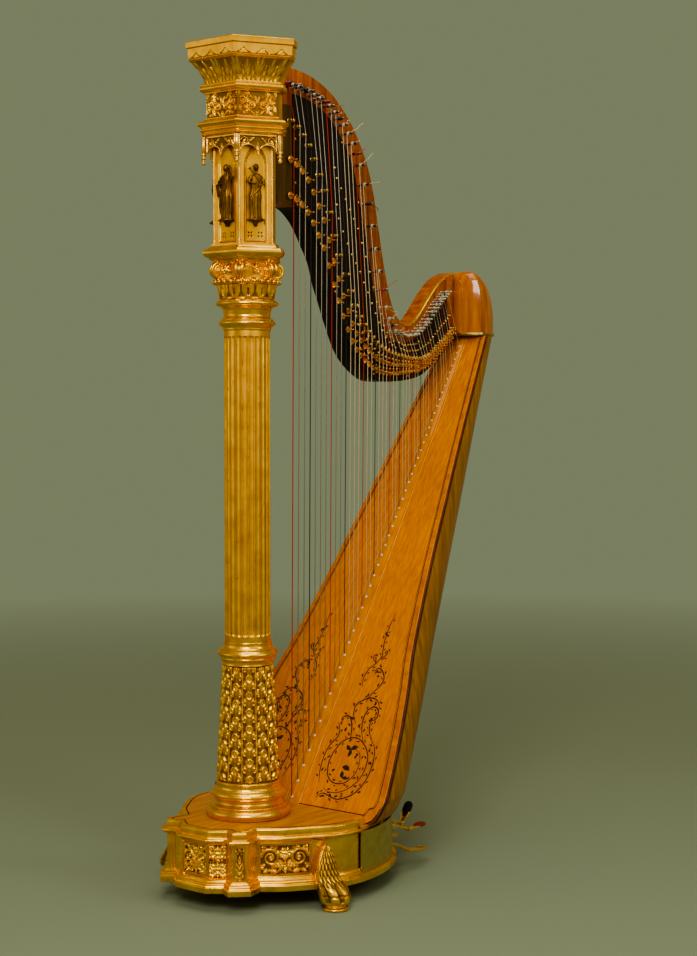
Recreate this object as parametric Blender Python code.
"""Concert pedal harp, in metres, +Z up.

The harp is drawn in its own working frame: the column's axis is x = 0, y = 0, the body lies towards +X,
the player sits behind it, and the player's left is -Y.  An empty carries every piece to the final frame,
whose origin is the middle of the bounding box at floor level.
"""

import bmesh
import bpy
from math import cos, pi, radians, sin, sqrt
from mathutils import Vector

# ---------------------------------------------------------------- driving dimensions
HEIGHT = 1.880
COLUMN_X = -0.3705              # where the column's axis stands in the final frame
GAP = 0.0003                    # clearance between touching pieces

# pedestal
PLINTH_LOW = 0.041
PLINTH_HIGH = 0.0565
CORNICE_LOW = 0.1497
CORNICE_HIGH = 0.169
TOP_PLATE_HIGH = 0.1577
DECK_HIGH = 0.1757
WALL = 0.014
PANEL_INSET = 0.010
LEDGE_INSET = 0.0117
# mouldings of the pedestal wall: height, and how far the outline is moved out
FRAME_LEVELS = [(PLINTH_LOW, 0.004), (0.044, 0.006), (0.052, 0.006), (PLINTH_HIGH, 0.0), (0.064, -0.004),
                (0.068, -PANEL_INSET), (0.147, -PANEL_INSET), (0.151, -0.004), (0.156, 0.0),
                (0.163, 0.0), (CORNICE_HIGH, -0.004)]
REAR_CENTRE_X = 0.100
REAR_LENGTH = 0.300
REAR_HALF_WIDTH = 0.243
REAR_WALL_CUT_X = 0.105
FRONT_OUTLINE = [(-0.182, -0.042), (-0.158, -0.073), (-0.170, -0.100), (-0.140, -0.130), (-0.098, -0.122),
                 (-0.088, -0.140), (-0.066, -0.160), (-0.040, -0.180), (-0.010, -0.201), (0.025, -0.224),
                 (0.062, -0.2385)]

# feet
PAW_AT = (0.012, 0.2435)
PAW_RINGS = [(0.0, 0.029), (0.007, 0.030), (0.011, 0.024), (0.014, 0.026), (0.024, 0.036), (0.036, 0.036),
             (0.052, 0.030), (0.070, 0.022), (0.105, 0.020), (0.132, 0.016), (0.146, 0.006)]
REAR_FOOT_AT = (0.315, 0.105)
REAR_FOOT_RINGS = [(0.0, 0.019), (0.006, 0.022), (0.028, 0.026), (0.0404, 0.022)]

# column, as (height, radius) from the bottom up
BORE = 0.034
BASE_PROFILE = [(0.176, 0.088), (0.181, 0.0931), (0.193, 0.0930), (0.199, 0.0850), (0.206, 0.0785),
                (0.213, 0.0762), (0.222, 0.0807), (0.233, 0.0836), (0.2445, 0.0762), (0.2527, 0.0717),
                (0.320, 0.0672), (0.387, 0.0638), (0.515, 0.0577), (0.521, 0.0576), (0.5306, 0.0626),
                (0.5396, 0.0670), (0.5486, 0.0625), (0.5575, 0.0525), (0.5665, 0.0507)]
SHAFT_LOW = 0.5668
SHAFT_HIGH = 1.2546
SHAFT_RADIUS = 0.0511
SHAFT_BORE = 0.038
CAPITAL_PROFILE = [(1.2549, 0.0521), (1.2637, 0.0587), (1.2692, 0.0621), (1.2758, 0.0636), (1.2813, 0.0598),
                   (1.2968, 0.0543), (1.3107, 0.0665), (1.3160, 0.0698), (1.3211, 0.0687), (1.3244, 0.0598),
                   (1.3542, 0.0620), (1.3564, 0.0731), (1.3639, 0.0753), (1.3679, 0.0686), (1.3895, 0.0855),
                   (1.4077, 0.0753)]

# crown, as (height, corner radius); its plan is a hexagon with the rear cut off flat
CROWN_REAR_X = 0.034
CROWN_BORE = 0.027
CROWN_PROFILE = [(1.4080, 0.0860), (1.4140, 0.0960), (1.4228, 0.1003), (1.4330, 0.1003), (1.4391, 0.0860),
                 (1.4430, 0.0760), (1.6390, 0.0745), (1.6420, 0.0960), (1.6760, 0.0960), (1.6780, 0.1053),
                 (1.6900, 0.1080), (1.7037, 0.1135), (1.7116, 0.1135), (1.7150, 0.0940), (1.7720, 0.0940),
                 (1.7750, 0.1040), (1.7800, 0.1082), (1.7860, 0.1040), (1.7900, 0.1009), (1.8130, 0.1090),
                 (1.8390, 0.1290), (1.8420, 0.1310), (1.8440, 0.1310)]
CAP_PROFILE = [(1.8443, 0.1330), (1.8640, 0.1350), (1.8660, 0.1397), (HEIGHT - 0.002, 0.1397), (HEIGHT, 0.1380)]
CROWN_BORE_HIGH = 1.640

# neck, in the X-Z plane
NECK_NEAR_Y = 0.0165
NECK_FAR_Y = 0.0665
PLATE_THICK = 0.0037
NECK_UPPER = [(0.126, 1.862), (0.170, 1.860), (0.206, 1.857), (0.247, 1.849), (0.284, 1.836), (0.317, 1.820),
              (0.345, 1.800), (0.374, 1.775), (0.398, 1.750), (0.420, 1.720), (0.440, 1.689), (0.457, 1.655),
              (0.470, 1.619), (0.482, 1.577), (0.492, 1.532), (0.503, 1.488), (0.513, 1.444), (0.526, 1.401),
              (0.535, 1.369), (0.549, 1.337), (0.567, 1.310), (0.592, 1.293), (0.616, 1.290), (0.644, 1.303),
              (0.673, 1.330), (0.707, 1.366), (0.741, 1.397), (0.771, 1.417), (0.806, 1.430)]
NECK_LOWER = [(0.806, 1.272), (0.770, 1.240), (0.732, 1.210), (0.698, 1.182), (0.660, 1.164), (0.610, 1.154),
              (0.550, 1.149), (0.514, 1.149), (0.482, 1.153), (0.454, 1.165), (0.426, 1.182), (0.399, 1.205),
              (0.378, 1.232), (0.358, 1.268), (0.341, 1.301), (0.324, 1.338), (0.308, 1.369), (0.297, 1.400),
              (0.285, 1.430), (0.263, 1.462), (0.247, 1.486), (0.224, 1.514), (0.197, 1.535), (0.170, 1.547),
              (0.139, 1.553), (0.117, 1.546), (0.101, 1.533)]
# the neck's end stands against the flat rear of the crown
NECK_ROOT = [(0.085, 1.517), (0.064, 1.493), (0.047, 1.476), (CROWN_REAR_X + GAP, 1.465),
             (CROWN_REAR_X + GAP, 1.862)]
PIN_ROW = [(0.120, 1.820), (0.214, 1.811), (0.285, 1.789), (0.345, 1.745), (0.400, 1.670), (0.437, 1.560),
           (0.475, 1.415), (0.508, 1.310), (0.540, 1.272), (0.575, 1.259), (0.620, 1.265), (0.668, 1.300),
           (0.712, 1.345), (0.760, 1.382)]
PLATE_BELOW_PINS = 0.014

# shoulder, as (height, middle x, half length, half width)
SHOULDER_Y = 0.0
SHOULDER_RINGS = [(1.2685, 0.868, 0.060, 0.062), (1.300, 0.869, 0.0600, 0.062), (1.330, 0.868, 0.0590, 0.061),
                  (1.360, 0.864, 0.0560, 0.059), (1.390, 0.858, 0.0480, 0.054), (1.415, 0.848, 0.0360, 0.044),
                  (1.428, 0.842, 0.0240, 0.032), (1.4335, 0.838, 0.0120, 0.018)]
SHOULDER_FRONT_X = 0.8065

# soundbox, by height
BOARD_SLOPE = 0.627
BOARD_AT_FLOOR = 0.0405
BOARD_THICK = 0.005
BODY_LOW = 0.158
BODY_HIGH = 1.268
HALF_WIDTH = [(0.158, 0.2590), (0.225, 0.2530), (0.320, 0.2340), (0.430, 0.2080), (0.520, 0.1820), (0.690, 0.1480),
              (0.860, 0.1210), (1.030, 0.0950), (1.268, 0.0620)]
BACK_X = [(0.158, 0.388), (0.225, 0.418), (0.300, 0.455), (0.400, 0.512), (0.500, 0.575), (0.600, 0.629),
          (0.700, 0.677), (0.800, 0.722), (0.900, 0.765), (1.000, 0.807), (1.100, 0.848), (1.200, 0.889),
          (1.268, 0.917)]
SHELL_THICK = 0.007
SOUND_HOLES = [(0.330, 0.052, 0.050), (0.500, 0.050, 0.043), (0.665, 0.046, 0.036), (0.820, 0.042, 0.029),
               (0.965, 0.038, 0.023)]
RIB_LOW = 0.580
RIB_HIGH = 0.592
RIB_DEPTH = 0.020
RIB_CLEARANCE = 0.004
RAIL_LOW = 0.178
RAIL_THICK = 0.008
RAIL_HALF_WIDTH = [(0.178, 0.0185), (1.000, 0.0150), (1.262, 0.0070)]
RAIL_HIGH = 1.262

# strings
STRING_COUNT = 47
FIRST_STRING_X = 0.149
BASS_SPACING = 0.0210
TREBLE_SPACING = 0.0105
SPACING_POWER = 1.75
STRING_LEAN = 0.0085
TREBLE_LEAN = 0.020
PIN_LEAN = 0.026
STEEP_STRINGS = (10, 25)         # strings that pass their pin on the column's side
SHARP_CLEARANCE = 0.020
SEMITONE = 1 - 2 ** (-1 / 12)
TWO_SEMITONES = 1 - 2 ** (-2 / 12)
EYELET_STRIP = 0.0022
STRING_OFF_RAIL = 0.0017
PIN_RADIUS = 0.0032
PIN_FRONT_Y = -0.016
BED_HALF_WIDTH = 0.002
BED_THICK = 0.001

# pedals: name, y of the slot, starts pushed down, starts with the pad folded up
PEDALS = [("D", -0.180, True, False), ("C", -0.140, False, False), ("B", -0.090, False, True),
          ("E", -0.020, True, False), ("F", 0.040, False, False), ("G", 0.100, False, False),
          ("A", 0.155, False, False)]
PIVOT_X = 0.085
PIVOT_Z = 0.104
PEDAL_TRAVEL = radians(7.2)
PIVOT_SPREAD = 0.35
ARM_DROP = 0.018
ARM_REACH = 0.075
PAD_LENGTH = 0.060
PAD_WIDTH = 0.027
PAD_THICK = 0.006
PAD_FOLD = radians(50)
ROD_SPACING = 0.0075
ROD_RADIUS = 0.0022
ROD_LOW = 0.1090
ROD_LENGTH = 1.420
PIVOT_BAR_RADIUS = 0.004

# fork discs
DISC_TURN = radians(60)
DISC_RADIUS = 0.0060
DISC_THICK = 0.0020
DISC_FRONT_Y = 0.0085
FORK_AT = 0.0042
FORK_RADIUS = 0.0009
FORK_FRONT_Y = -0.0035
DISC_OCTAVE = 14                # the first string of the octave whose discs are modelled
NOTES = "CDEFGAB"


# ---------------------------------------------------------------- helpers
def clear_scene():
    for obj in list(bpy.data.objects):
        bpy.data.objects.remove(obj, do_unlink=True)


def material(name, colour, roughness, metallic=0.0):
    mat = bpy.data.materials.new(name)
    mat.use_nodes = True
    shader = mat.node_tree.nodes["Principled BSDF"]
    shader.inputs["Base Color"].default_value = (*colour, 1.0)
    shader.inputs["Roughness"].default_value = roughness
    shader.inputs["Metallic"].default_value = metallic
    return mat


def finish_mesh(name, bm, mat, smooth_angle=None):
    """Turn a bmesh into an object of the harp, with its normals facing out."""
    bmesh.ops.recalc_face_normals(bm, faces=bm.faces)
    mesh = bpy.data.meshes.new(name)
    bm.to_mesh(mesh)
    bm.free()
    mesh.materials.append(mat)
    if smooth_angle:
        mesh.shade_smooth()
        mesh.set_sharp_from_angle(angle=radians(smooth_angle))
    obj = bpy.data.objects.new(name, mesh)
    bpy.context.scene.collection.objects.link(obj)
    obj.parent = HARP
    return obj


def loft(rings, bm=None):
    """Closed solid through rings with the same number of points, capped at both ends."""
    bm = bm or bmesh.new()
    rows = [[bm.verts.new(point) for point in ring] for ring in rings]
    count = len(rows[0])
    for low, high in zip(rows, rows[1:]):
        for i in range(count):
            j = (i + 1) % count
            bm.faces.new((low[i], low[j], high[j], high[i]))
    bm.faces.new(list(reversed(rows[0])))
    bm.faces.new(rows[-1])
    return bm


def tunnel(rings, bm=None):
    """Closed ring-shaped solid through rings, the last joined to the first, as for a tube's wall."""
    bm = bm or bmesh.new()
    rows = [[bm.verts.new(point) for point in ring] for ring in rings]
    count = len(rows[0])
    for low, high in zip(rows, rows[1:] + rows[:1]):
        for i in range(count):
            j = (i + 1) % count
            bm.faces.new((low[i], low[j], high[j], high[i]))
    return bm


def circle(radius, z, count, x=0.0, y=0.0, turn=0.0):
    angles = [turn + 2 * pi * k / count for k in range(count)]
    return [(x + radius * cos(a), y + radius * sin(a), z) for a in angles]


def bar_between(bm, start, end, radius, count):
    """A straight round bar added to a bmesh as a body of its own."""
    start, end = Vector(start), Vector(end)
    turn = (end - start).to_track_quat("Z", "Y").to_matrix()
    rings = [[centre + turn @ Vector(point) for point in circle(radius, 0.0, count)] for centre in (start, end)]
    return loft(rings, bm)


def box(bm, low, high):
    """An axis-aligned box added to a bmesh as a body of its own."""
    corners = [(low[0], low[1]), (high[0], low[1]), (high[0], high[1]), (low[0], high[1])]
    return loft([[(x, y, z) for x, y in corners] for z in (low[2], high[2])], bm)


def between(table, at):
    """Straight-line interpolation in a table of rows whose first column rises."""
    for low, high in zip(table, table[1:]):
        if at <= high[0]:
            t = (at - low[0]) / (high[0] - low[0])
            return tuple(a + t * (b - a) for a, b in zip(low[1:], high[1:]))
    return table[-1][1:]


def add_boolean(obj, operation, other):
    modifier = obj.modifiers.new(operation.lower(), "BOOLEAN")
    modifier.operation = operation
    modifier.object = other
    modifier.solver = "EXACT"
    other.hide_render = True
    other.display_type = "WIRE"


def helper(name, bm):
    return finish_mesh(name, bm, STEEL)


# ---------------------------------------------------------------- pedestal
def grown(outline, by):
    """The outline moved outwards by a distance, with mitred corners; the outline runs anticlockwise."""
    result = []
    for before, at, after in zip(outline[-1:] + outline[:-1], outline, outline[1:] + outline[:1]):
        edge_in = (Vector(at) - Vector(before)).normalized()
        edge_out = (Vector(after) - Vector(at)).normalized()
        normal_in = Vector((edge_in.y, -edge_in.x))
        normal_out = Vector((edge_out.y, -edge_out.x))
        middle = (normal_in + normal_out).normalized()
        result.append(tuple(Vector(at) + middle * (by / max(middle.dot(normal_in), 0.5))))
    return result


def pedestal_outline():
    """Plan of the pedestal, anticlockwise: a broken front with corner ears, and an elliptical rear."""
    steps = 24
    angles = [-pi / 2 + pi * k / steps for k in range(steps + 1)]
    rear = [(REAR_CENTRE_X + REAR_LENGTH * cos(a), REAR_HALF_WIDTH * sin(a)) for a in angles]
    mirrored = [(x, -y) for x, y in reversed(FRONT_OUTLINE)]
    return FRONT_OUTLINE + rear + mirrored


def at_height(outline, z):
    return [(x, y, z) for x, y in outline]


def make_base_frame():
    plan = pedestal_outline()
    frame = finish_mesh("base_frame", loft([at_height(grown(plan, by), z) for z, by in FRAME_LEVELS]), GILT)
    inside = grown(plan, -PANEL_INSET - WALL)
    rebate = grown(plan, -LEDGE_INSET)
    hollow = [at_height(inside, 0.02), at_height(inside, CORNICE_LOW), at_height(rebate, CORNICE_LOW + 0.0001),
              at_height(rebate, 0.20)]
    add_boolean(frame, "DIFFERENCE", helper("cut_base_hollow", loft(hollow)))
    rear = box(None, (REAR_WALL_CUT_X, -0.30, PLINTH_HIGH), (0.50, 0.30, 0.20))
    add_boolean(frame, "DIFFERENCE", helper("cut_base_rear", rear))


def make_base_plates():
    plan = pedestal_outline()
    cover = grown(plan, -LEDGE_INSET - GAP)
    top = loft([at_height(cover, CORNICE_LOW + GAP), at_height(cover, TOP_PLATE_HIGH)])
    plate = finish_mesh("base_top_plate", top, OAK)
    bore = loft([circle(BORE, 0.1, 16), circle(BORE, 0.2, 16)])
    add_boolean(plate, "DIFFERENCE", helper("cut_plate_bore", bore))
    deck_rear_x = BOARD_SLOPE * DECK_HIGH + BOARD_AT_FLOOR - 0.012
    left_half = [(x, y) for x, y in cover if x < deck_rear_x and y < 0]
    low_y = min(y for x, y in left_half)
    deck_plan = left_half + [(deck_rear_x, low_y), (deck_rear_x, -low_y)]
    deck_plan += [(x, -y) for x, y in reversed(left_half)]
    deck = finish_mesh("base_deck", loft([at_height(deck_plan, TOP_PLATE_HIGH + GAP),
                                          at_height(deck_plan, DECK_HIGH)]), OAK)
    bore = loft([circle(BORE, 0.1, 16), circle(BORE, 0.2, 16)])
    add_boolean(deck, "DIFFERENCE", helper("cut_deck_bore", bore))
    floor = grown(plan, -PANEL_INSET - WALL - GAP)
    finish_mesh("base_floor_plate", loft([at_height(floor, PLINTH_LOW), at_height(floor, 0.047)]), OAK)


def rear_x(y, inset):
    """X of the elliptical rear wall, moved in by a distance, at a given y."""
    return REAR_CENTRE_X + (REAR_LENGTH - inset) * sqrt(1 - (y / (REAR_HALF_WIDTH - inset)) ** 2)


def make_pedal_cover():
    steps = 28
    arc = []
    for inset in (0.003, 0.006):
        reach = REAR_HALF_WIDTH - inset
        first = -pi / 2 + 0.026
        angles = [first - 2 * first * k / steps for k in range(steps + 1)]
        row = [(REAR_CENTRE_X + (REAR_LENGTH - inset) * cos(a), reach * sin(a)) for a in angles]
        arc.append(row)
    plan = arc[0] + arc[1][::-1]
    cover = finish_mesh("pedal_cover", loft([at_height(plan, PLINTH_HIGH + GAP), at_height(plan, CORNICE_LOW)]),
                        BRASS, 30)
    slots = bmesh.new()
    for name, y, down, folded in PEDALS:
        x = rear_x(y, 0.0045)
        box(slots, (x - 0.035, y - 0.0075, 0.0580), (x + 0.035, y + 0.0075, 0.1150))
    add_boolean(cover, "DIFFERENCE", helper("cut_pedal_slots", slots))


def make_feet():
    plan = pedestal_outline()
    for side, sign in (("left", -1), ("right", 1)):
        rings = []
        for z, radius in PAW_RINGS:
            lean = 0.020 * min(1.0, max(0.0, (z - 0.03) / 0.05))
            rings.append(circle(radius, z, 16, PAW_AT[0] - 0.2 * lean, sign * (PAW_AT[1] - lean)))
        foot = finish_mesh("foot_front_" + side, loft(rings), GILT, 40)
        levels = [(PLINTH_LOW - GAP, 0.006)] + [(z + GAP, by) for z, by in FRAME_LEVELS[2:6]] + [(0.146, -PANEL_INSET)]
        levels += [(z - GAP, by) for z, by in FRAME_LEVELS[7:9]] + [(0.20, 0.0)]
        keep_off = loft([at_height(grown(plan, by + GAP), z) for z, by in levels])
        add_boolean(foot, "DIFFERENCE", helper("cut_foot_" + side, keep_off))
        rings = [circle(radius, z, 16, REAR_FOOT_AT[0], sign * REAR_FOOT_AT[1]) for z, radius in REAR_FOOT_RINGS]
        finish_mesh("foot_rear_" + side, loft(rings), GILT, 40)


# ---------------------------------------------------------------- column and crown
def bored(name, profile, bore, segments, mat):
    low, high = profile[0][0], profile[-1][0]
    rings = [circle(bore, low, segments)]
    rings += [circle(radius, z, segments) for z, radius in profile]
    rings += [circle(bore, high, segments)]
    return finish_mesh(name, tunnel(rings), mat, 35)


def make_column():
    bored("column_base", BASE_PROFILE, BORE, 24, GILT)
    bored("column_shaft", [(SHAFT_LOW, SHAFT_RADIUS), (SHAFT_HIGH, SHAFT_RADIUS)], SHAFT_BORE, 32, GILT)
    bored("column_capital", CAPITAL_PROFILE, BORE, 24, GILT)


def crown_plan(radius, z):
    """A hexagon with a corner on each side of the column, cut off flat behind the column."""
    side_x, side_y = radius * cos(pi / 6), radius / 2
    rear_y = radius - CROWN_REAR_X * side_y / side_x
    return [(0.0, -radius, z), (CROWN_REAR_X, -rear_y, z), (CROWN_REAR_X, rear_y, z), (0.0, radius, z),
            (-side_x, side_y, z), (-side_x, -side_y, z)]


def make_crown():
    crown = finish_mesh("crown_body", loft([crown_plan(r, z) for z, r in CROWN_PROFILE]), GILT)
    bore = loft([circle(CROWN_BORE, 1.30, 16), circle(CROWN_BORE, CROWN_BORE_HIGH, 16)])
    add_boolean(crown, "DIFFERENCE", helper("cut_crown_bore", bore))
    finish_mesh("crown_cap", loft([crown_plan(r, z) for z, r in CAP_PROFILE]), GILT)


# ---------------------------------------------------------------- neck and action
def slab(name, outline, near_y, far_y, mat):
    """Flat plate with an outline in the X-Z plane."""
    rings = [[(x, y, z) for x, z in outline] for y in (near_y, far_y)]
    return finish_mesh(name, loft(rings), mat)


def lower_edge_z(x):
    return between(sorted(NECK_LOWER), x)[0]


def make_neck():
    slab("neck", NECK_LOWER + NECK_ROOT + NECK_UPPER, NECK_NEAR_Y, NECK_FAR_Y, MAPLE)
    upper = []
    for (x, z), (ahead_x, ahead_z) in zip(PIN_ROW, PIN_ROW[1:]):
        along = Vector((ahead_x - x, ahead_z - z)).normalized()
        upper.append((x + along.y * PLATE_BELOW_PINS, z - along.x * PLATE_BELOW_PINS))
    upper[0] = (0.131, upper[0][1])
    lower = [point for point in NECK_LOWER if 0.13 < point[0] < 0.79]
    outline = lower + upper
    slab("action_plate_left", outline, NECK_NEAR_Y - GAP - PLATE_THICK, NECK_NEAR_Y - GAP, BLACK)
    slab("action_plate_right", outline, NECK_FAR_Y + GAP, NECK_FAR_Y + GAP + PLATE_THICK, BLACK)


def make_shoulder():
    rings = []
    steps = 24
    for z, x, length, width in SHOULDER_RINGS:
        ring = []
        for k in range(steps):
            a = 2 * pi * k / steps
            ring.append((max(x + length * cos(a), SHOULDER_FRONT_X), SHOULDER_Y + width * sin(a), z))
        rings.append(ring)
    finish_mesh("shoulder", loft(rings), MAPLE, 40)


# ---------------------------------------------------------------- soundbox
def board_x(z):
    return BOARD_SLOPE * z + BOARD_AT_FLOOR


def half_width(z):
    return between(HALF_WIDTH, z)[0]


def back_arc(z, inset, start_x, steps):
    """Half an ellipse behind the board at height z, from the player's left to the right."""
    width = half_width(z) - inset
    depth = between(BACK_X, z)[0] - inset - start_x
    angles = [-pi / 2 + pi * k / steps for k in range(steps + 1)]
    return [(start_x + depth * cos(a), width * sin(a), z) for a in angles]


def body_heights():
    return [BODY_LOW, 0.225, 0.32, 0.43, 0.52, 0.69, 0.86, 1.03, BODY_HIGH]


def make_soundboard():
    rings = []
    for z in body_heights():
        x, y = board_x(z), half_width(z)
        rings.append([(x, -y, z), (x + BOARD_THICK, -y, z), (x + BOARD_THICK, y, z), (x, y, z)])
    finish_mesh("soundboard", loft(rings), SPRUCE)
    rings = []
    for z in (RAIL_LOW, 0.6, 1.0, RAIL_HIGH):
        x, y = board_x(z) - GAP, between(RAIL_HALF_WIDTH, z)[0]
        rings.append([(x - RAIL_THICK, -y, z), (x, -y, z), (x, y, z), (x - RAIL_THICK, y, z)])
    finish_mesh("string_rail", loft(rings), SPRUCE)


def make_soundbox():
    rings = []
    for z in body_heights():
        start = board_x(z) + BOARD_THICK + GAP
        outer = back_arc(z, 0.0, start, 16)
        inner = back_arc(z, SHELL_THICK, start, 16)
        rings.append(outer + inner[::-1])
    shell = finish_mesh("soundbox_shell", loft(rings), MAPLE, 30)
    holes = bmesh.new()
    for z, half_height, half_span in SOUND_HOLES:
        x = between(BACK_X, z)[0]
        oval = [(half_span * cos(2 * pi * k / 12), half_height * sin(2 * pi * k / 12)) for k in range(12)]
        loft([[(end, y, z + up) for y, up in oval] for end in (x - 0.055, x + 0.08)], holes)
    add_boolean(shell, "DIFFERENCE", helper("cut_sound_holes", holes))
    rings = []
    for z in (RIB_LOW, RIB_HIGH):
        start = board_x(z) + BOARD_THICK + 2 * GAP
        outer = back_arc(z, SHELL_THICK + RIB_CLEARANCE, start, 16)
        inner = back_arc(z, SHELL_THICK + RIB_DEPTH, start, 16)
        rings.append(outer + inner[::-1])
    finish_mesh("soundbox_rib", loft(rings), MAPLE)


# ---------------------------------------------------------------- strings
def string_bottom_x():
    """X of each string where it meets the rail; the spacing narrows from bass to treble."""
    xs = [FIRST_STRING_X]
    for k in range(STRING_COUNT - 1):
        t = k / (STRING_COUNT - 2)
        xs.append(xs[-1] + TREBLE_SPACING + (BASS_SPACING - TREBLE_SPACING) * (1 - t) ** SPACING_POWER)
    return xs


def string_radius(index):
    return 0.00090 - 0.00055 * index / (STRING_COUNT - 1)


def string_line(index, x):
    """Points of one string, rail, nut and the side of its tuning pin, and the pin's own centre."""
    low_z = (x - BOARD_AT_FLOOR + GAP + RAIL_THICK + STRING_OFF_RAIL) / BOARD_SLOPE
    t = index / (STRING_COUNT - 1)
    nut_x = x + STRING_LEAN * (1.6 - low_z) - TREBLE_LEAN * t ** 4
    sharp_z = lower_edge_z(min(max(nut_x, 0.15), 0.80)) + SHARP_CLEARANCE
    nut_z = max((sharp_z - TWO_SEMITONES * low_z) / (1 - TWO_SEMITONES), low_z + 0.045)
    pin_x = nut_x - PIN_LEAN - 0.012 * t
    pin_z = between(PIN_ROW, pin_x)[0]
    along = Vector((pin_x - nut_x, pin_z - nut_z)).normalized()
    side = PIN_RADIUS + string_radius(index) + 0.0005
    if STEEP_STRINGS[0] <= index <= STEEP_STRINGS[1]:
        side = -side
    end = (pin_x + along.y * side, 0.0, pin_z - along.x * side)
    return [(x, 0.0, low_z), (nut_x, 0.0, nut_z), end], (pin_x, pin_z)


def bent_bar(bm, points, radius, count):
    """A round bar through three or more points in the plane y = 0, as one body."""
    rings = []
    for k, point in enumerate(points):
        before = Vector(points[max(k - 1, 0)])
        after = Vector(points[min(k + 1, len(points) - 1)])
        along = (after - before).normalized()
        side = Vector((along.z, 0.0, -along.x))
        ring = []
        for step in range(count):
            a = 2 * pi * step / count
            ring.append(Vector(point) + side * (radius * cos(a)) + Vector((0, radius * sin(a), 0)))
        rings.append(ring)
    return loft(rings, bm)


def make_strings():
    found = [string_line(i, x) for i, x in enumerate(string_bottom_x())]
    lines = [line for line, pin in found]
    strip = bmesh.new()
    first, last = lines[0][0], lines[-1][0]
    front = GAP + RAIL_THICK + GAP
    rings = []
    for z in (first[2] - 0.008, last[2] + 0.006):
        x = board_x(z) - front
        rings.append([(x - EYELET_STRIP, -0.0025, z), (x, -0.0025, z), (x, 0.0025, z), (x - EYELET_STRIP, 0.0025, z)])
    strings = finish_mesh("strings", loft(rings, strip), GUT)
    bars = bmesh.new()
    for index, line in enumerate(lines):
        bent_bar(bars, line, string_radius(index), 6)
    add_boolean(strings, "UNION", helper("string_bars", bars))
    return lines, [pin for line, pin in found]


def make_tuning_pins(pins_at):
    rings = []
    back_y = NECK_NEAR_Y - GAP
    for index, (x, z) in enumerate(pins_at):
        before, after = Vector(pins_at[max(index - 1, 0)]), Vector(pins_at[min(index + 1, STRING_COUNT - 1)])
        along = (after - before).normalized()
        side = Vector((-along.y, along.x)) * BED_HALF_WIDTH
        rings.append([(x - side.x, back_y - BED_THICK, z - side.y), (x + side.x, back_y - BED_THICK, z + side.y),
                      (x + side.x, back_y, z + side.y), (x - side.x, back_y, z - side.y)])
    pins = finish_mesh("tuning_pins", loft(rings), STEEL)
    posts = bmesh.new()
    for x, z in pins_at:
        bar_between(posts, (x, PIN_FRONT_Y, z), (x, back_y - 0.0002, z), PIN_RADIUS, 8)
    add_boolean(pins, "UNION", helper("pin_posts", posts))


def disc_mesh():
    """A fork disc lying in the X-Z plane: a round plate and two prongs that straddle the string."""
    bm = bar_between(bmesh.new(), (0, DISC_FRONT_Y, 0), (0, DISC_FRONT_Y + DISC_THICK, 0), DISC_RADIUS, 12)
    disc = finish_mesh("disc_pattern", bm, BRASS, 40)
    prongs = bmesh.new()
    for sign in (-1, 1):
        bar_between(prongs, (sign * FORK_AT, FORK_FRONT_Y, 0), (sign * FORK_AT, DISC_FRONT_Y + 0.001, 0),
                    FORK_RADIUS, 6)
    cutter = helper("disc_prongs", prongs)
    add_boolean(disc, "UNION", cutter)
    bpy.context.view_layer.update()
    graph = bpy.context.evaluated_depsgraph_get()
    mesh = bpy.data.meshes.new_from_object(disc.evaluated_get(graph))
    bpy.data.objects.remove(disc)
    bpy.data.objects.remove(cutter)
    return mesh


def disc_centres(line):
    """Centres of a string's natural and sharp discs, a semitone and a tone above its open length."""
    low, nut = Vector(line[0]), Vector(line[1])
    return nut.lerp(low, SEMITONE), nut.lerp(low, TWO_SEMITONES)


def make_discs(lines):
    mesh = disc_mesh()
    starts_down = {name: down for name, y, down, folded in PEDALS}
    for step, note in enumerate(NOTES):
        centres = disc_centres(lines[DISC_OCTAVE + step])
        for kind, centre in zip(("natural", "sharp"), centres):
            disc = bpy.data.objects.new(f"{kind}_disc_{note}", mesh)
            bpy.context.scene.collection.objects.link(disc)
            disc.parent = HARP
            disc.location = centre
            disc.rotation_euler = (0, DISC_TURN if starts_down[note] else 0.0, 0)


# ---------------------------------------------------------------- pedals
def flat_bar(bm, path, widths, height):
    """A bar of rectangular section along a path that bends in plan and may slope."""
    rings = []
    for k, (x, y, z) in enumerate(path):
        before, after = path[max(k - 1, 0)], path[min(k + 1, len(path) - 1)]
        along = Vector((after[0] - before[0], after[1] - before[1])).normalized()
        side = Vector((-along.y, along.x)) * (widths[k] / 2)
        rings.append([(x - side.x, y - side.y, z - height / 2), (x + side.x, y + side.y, z - height / 2),
                      (x + side.x, y + side.y, z + height / 2), (x - side.x, y - side.y, z + height / 2)])
    return loft(rings, bm)


def pedal_plan(index, slot_y):
    """Bends of one lever, from its pivot: front end, pivot, just inside the slot, just outside, pad hinge."""
    rod_y = (index - 3) * ROD_SPACING
    pivot_y = slot_y * PIVOT_SPREAD
    slot_x = rear_x(slot_y, 0.0045) - PIVOT_X
    hinge = Vector((slot_x + ARM_REACH, slot_y - pivot_y, -ARM_DROP))
    past_rod = 1.0 + 0.005 / PIVOT_X
    path = [(-PIVOT_X * past_rod, (rod_y - pivot_y) * past_rod, 0.0), (0.0, 0.0, 0.0),
            (slot_x - 0.014, slot_y - pivot_y, 0.0), (slot_x + 0.020, slot_y - pivot_y, -0.002),
            (hinge.x - 0.0058, hinge.y, hinge.z)]
    return pivot_y, hinge, path


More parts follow.
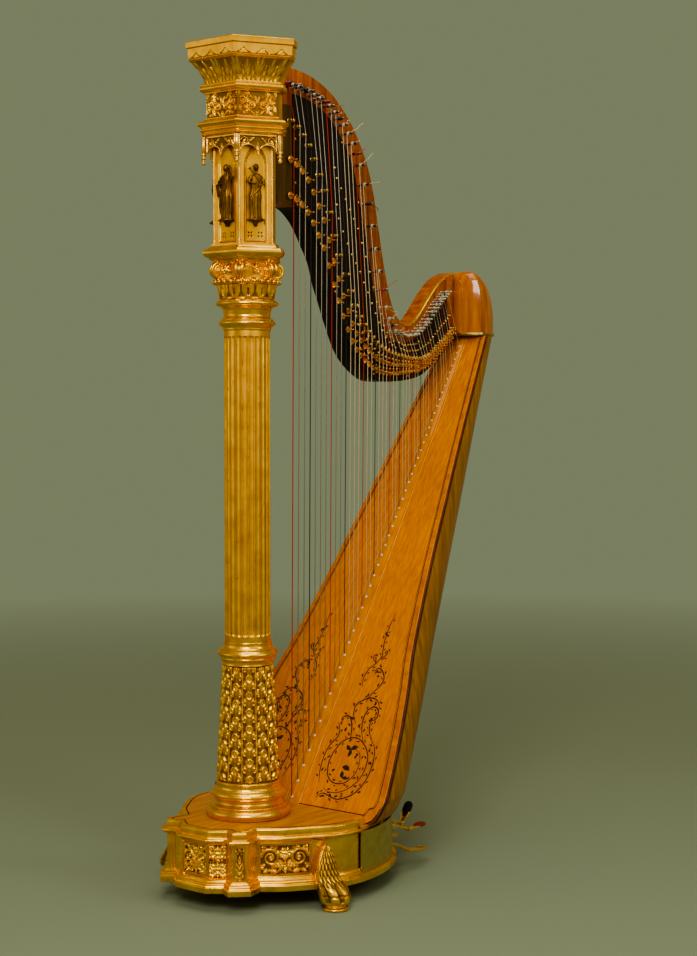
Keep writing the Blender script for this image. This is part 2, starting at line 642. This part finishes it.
def make_pad(name, pedal, hinge, folded):
    """A foot pad that folds up on a pin along Y at the end of its lever."""
    steps = 10
    plan = [(0.002, -0.007), (0.010, -0.008), (0.022, -PAD_WIDTH / 2)]
    round_x = PAD_LENGTH - PAD_WIDTH / 2
    for k in range(steps + 1):
        a = -pi / 2 + pi * k / steps
        plan.append((round_x + PAD_WIDTH / 2 * cos(a), PAD_WIDTH / 2 * sin(a)))
    plan += [(0.022, PAD_WIDTH / 2), (0.010, 0.008), (0.002, 0.007)]
    rise = 0.006
    rings = []
    for z in (-PAD_THICK / 2, PAD_THICK / 2):
        rings.append([(x, y, z + rise * (max(x - 0.012, 0.0) / PAD_LENGTH) ** 2) for x, y in plan])
    pad = finish_mesh("pad_" + name, loft(rings), FELT if name in "CB" else BRASS)
    knuckle = bar_between(bmesh.new(), (0, -0.0062, 0), (0, 0.0062, 0), 0.0042, 10)
    knuckle = finish_mesh("knuckle_" + name, knuckle, BRASS)
    knuckle.parent = pad
    add_boolean(pad, "UNION", knuckle)
    pad.parent = pedal
    pad.location = hinge
    pad.rotation_euler = (0, -PAD_FOLD if folded else 0.0, 0)


def make_pedals():
    for index, (name, slot_y, down, folded) in enumerate(PEDALS):
        pivot_y, hinge, path = pedal_plan(index, slot_y)
        lever = flat_bar(bmesh.new(), path, (0.0040, 0.007, 0.008, 0.009, 0.010), 0.008)
        pedal = finish_mesh("pedal_" + name, lever, BRASS)
        eye = helper("eye_" + name, bar_between(bmesh.new(), (0, -0.0040, 0), (0, 0.0040, 0), 0.0095, 14))
        hole = helper("eye_hole_" + name, bar_between(bmesh.new(), (0, -0.03, 0), (0, 0.03, 0), 0.0047, 12))
        for part in (eye, hole):
            part.parent = pedal
        add_boolean(pedal, "UNION", eye)
        add_boolean(pedal, "DIFFERENCE", hole)
        pedal.location = (PIVOT_X, pivot_y, PIVOT_Z)
        pedal.rotation_euler = (0, PEDAL_TRAVEL if down else 0.0, 0)
        make_pad(name, pedal, hinge, folded)
        lift = PIVOT_X * PEDAL_TRAVEL if down else 0.0
        rod = bar_between(bmesh.new(), (0, 0, 0), (0, 0, ROD_LENGTH), ROD_RADIUS, 8)
        rod = finish_mesh("pedal_rod_" + name, rod, STEEL, 50)
        rod.location = (0, (index - 3) * ROD_SPACING, ROD_LOW + lift)


def make_pivot_bar():
    half = 0.088
    bar = finish_mesh("pedal_pivot_bar", bar_between(bmesh.new(), (PIVOT_X, -half, PIVOT_Z), (PIVOT_X, half, PIVOT_Z),
                                                     PIVOT_BAR_RADIUS, 12), STEEL)
    stands = bmesh.new()
    for sign in (-1, 1):
        box(stands, (PIVOT_X - 0.012, sign * 0.083 - 0.006, 0.0473), (PIVOT_X + 0.012, sign * 0.083 + 0.006, 0.116))
    add_boolean(bar, "UNION", helper("pivot_stands", stands))


clear_scene()
HARP = bpy.data.objects.new("harp_frame", None)
bpy.context.scene.collection.objects.link(HARP)
HARP.location = (COLUMN_X, 0.0, 0.0)

GILT = material("gilt", (0.83, 0.55, 0.14), 0.30, 1.0)
BRASS = material("brass", (0.72, 0.56, 0.22), 0.28, 1.0)
STEEL = material("steel", (0.62, 0.62, 0.60), 0.30, 1.0)
BLACK = material("black_plate", (0.02, 0.018, 0.016), 0.35)
MAPLE = material("varnished_maple", (0.42, 0.13, 0.035), 0.25)
SPRUCE = material("varnished_spruce", (0.72, 0.33, 0.07), 0.28)
OAK = material("base_wood", (0.60, 0.27, 0.07), 0.35)
GUT = material("string_gut", (0.75, 0.70, 0.60), 0.40)
FELT = material("felt", (0.16, 0.02, 0.02), 0.95)

make_base_frame()
make_base_plates()
make_pedal_cover()
make_feet()
make_column()
make_crown()
make_neck()
make_shoulder()
make_soundboard()
make_soundbox()
string_lines, pins_at = make_strings()
make_tuning_pins(pins_at)
make_discs(string_lines)
make_pedals()
make_pivot_bar()
